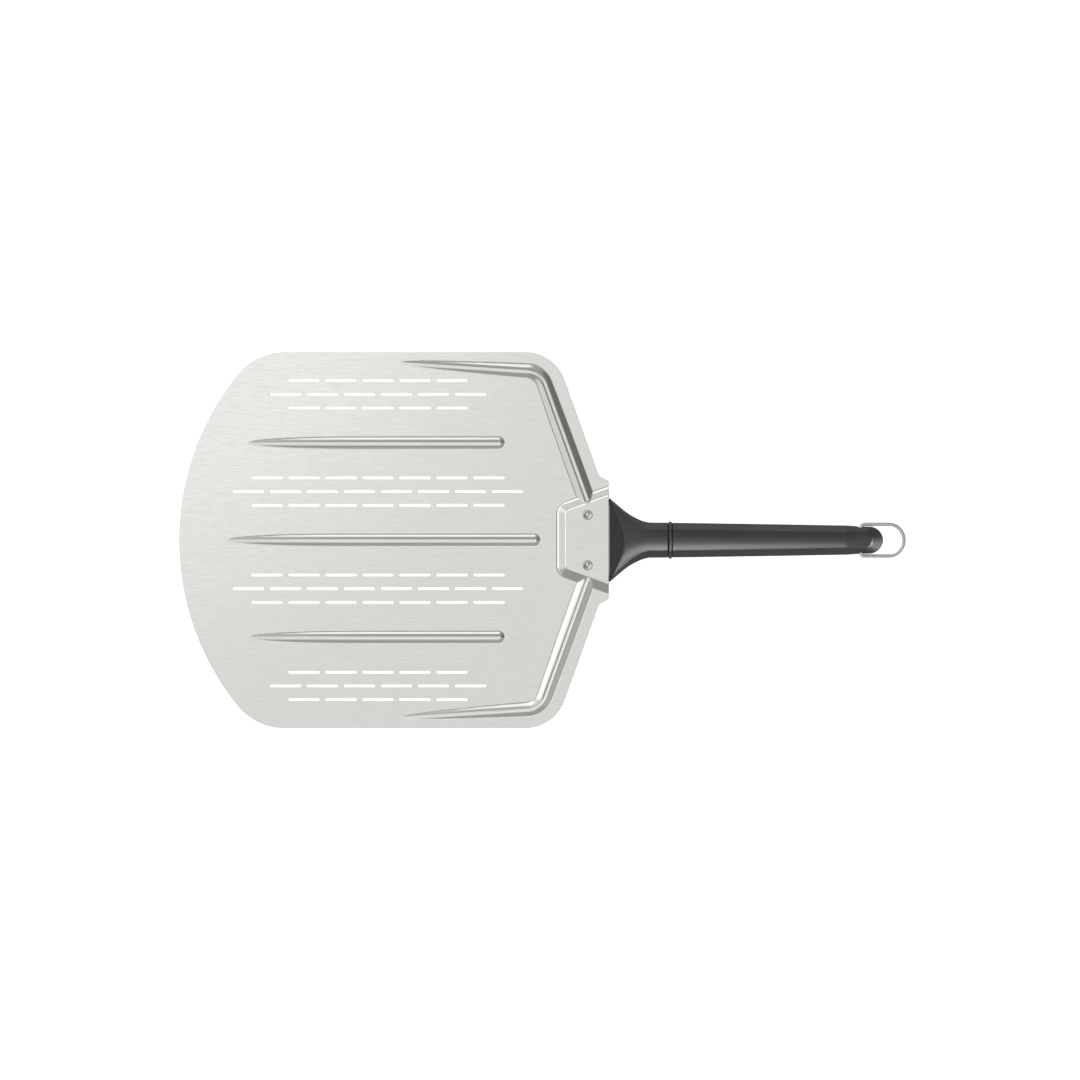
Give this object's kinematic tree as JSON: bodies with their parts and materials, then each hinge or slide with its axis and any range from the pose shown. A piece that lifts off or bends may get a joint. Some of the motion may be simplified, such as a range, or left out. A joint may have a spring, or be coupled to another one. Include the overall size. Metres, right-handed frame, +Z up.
{
  "type": "pizza peel",
  "caption": "Slotted, ribbed steel pizza peel with a raised riveted socket, a moulded black handle and a swinging wire hanging loop.",
  "frame": {"origin": "centre of the bounding box in plan, on the surface the peel lies on", "axes": "+X from the blade's front edge to the hanging loop, +Y across the blade, +Z up from the resting surface"},
  "size_m": [0.6374, 0.33, 0.025],
  "materials": {
    "blade_steel": "brushed along the handle's direction",
    "tang_steel": "mill finish",
    "rivet_steel": "satin",
    "handle_plastic": "satin moulded",
    "wire_steel": "bright drawn wire"
  },
  "bodies": {
    "peel": {"blade": "blade_steel", "tang": "tang_steel", "blade_rivets": "rivet_steel", "rivet_washers": "rivet_steel", "neck": "handle_plastic", "joint_ring": "handle_plastic", "grip": "handle_plastic", "end_cap": "handle_plastic", "grip_screws": "rivet_steel"},
    "loop": {"hanging_loop": "wire_steel"}
  },
  "joints": [
    {"name": "loop_swing", "type": "hinge", "parent": "peel", "child": "loop", "pos_m": [0.2786, 0, 0.0115], "axis": [0, -1, 0], "range_deg": [-120, 148]}
  ]
}
